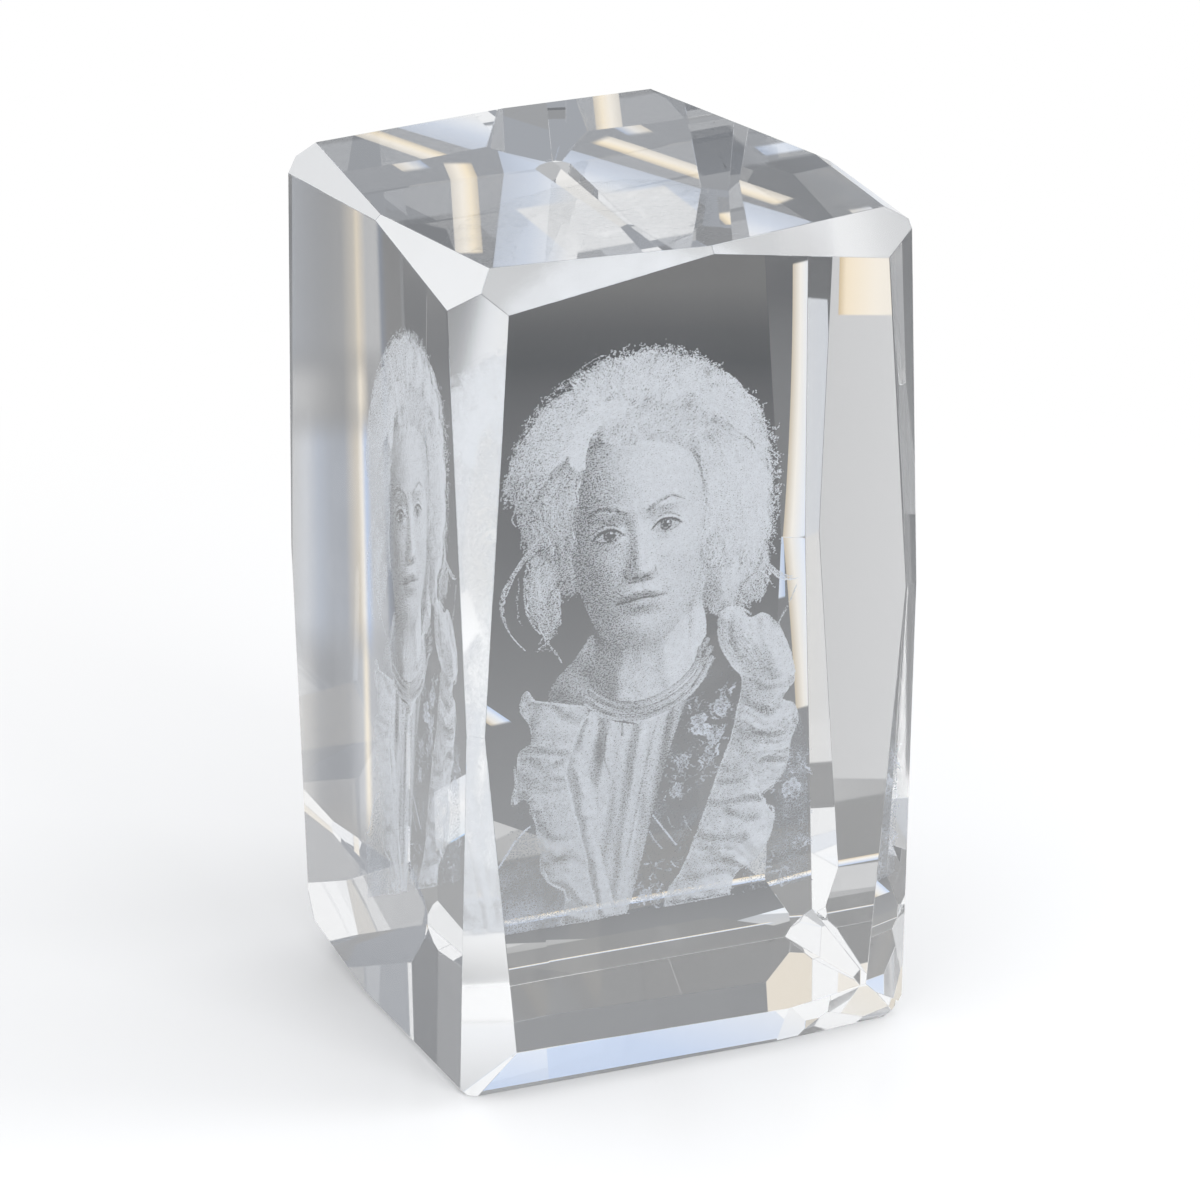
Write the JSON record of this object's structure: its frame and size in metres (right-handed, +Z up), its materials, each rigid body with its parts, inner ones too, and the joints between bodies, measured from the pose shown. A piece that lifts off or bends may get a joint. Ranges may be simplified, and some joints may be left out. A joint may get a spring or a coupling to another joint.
{
  "type": "glass photo block",
  "caption": "Tall clear crystal block with ground, waisted edges and a portrait engraved inside the glass, free-standing on its base.",
  "frame": {"origin": "centre of the base, at table level", "axes": "+Z up along the block's height; the portrait faces -Y, and +X is to its viewer's right"},
  "size_m": [0.05, 0.05, 0.09],
  "materials": {
    "crystal": "polished clear optical crystal, refractive index about 1.52",
    "engraving": "dense fine white micro-fractures inside the crystal",
    "engraving_dark": "sparse fine white micro-fractures inside the crystal"
  },
  "bodies": {
    "root": {"crystal_block": "crystal", "engraved_face": "engraving", "engraved_hair": "engraving", "engraved_side_curl": "engraving", "engraved_neck": "engraving", "engraved_choker_band_1": "engraving", "engraved_choker_band_2": "engraving", "engraved_choker_band_3": "engraving", "engraved_blouse": "engraving", "engraved_left_ruffle": "engraving", "engraved_right_ruffle": "engraving", "engraved_jacket_left": "engraving_dark", "engraved_jacket_right": "engraving_dark"}
  },
  "joints": []
}
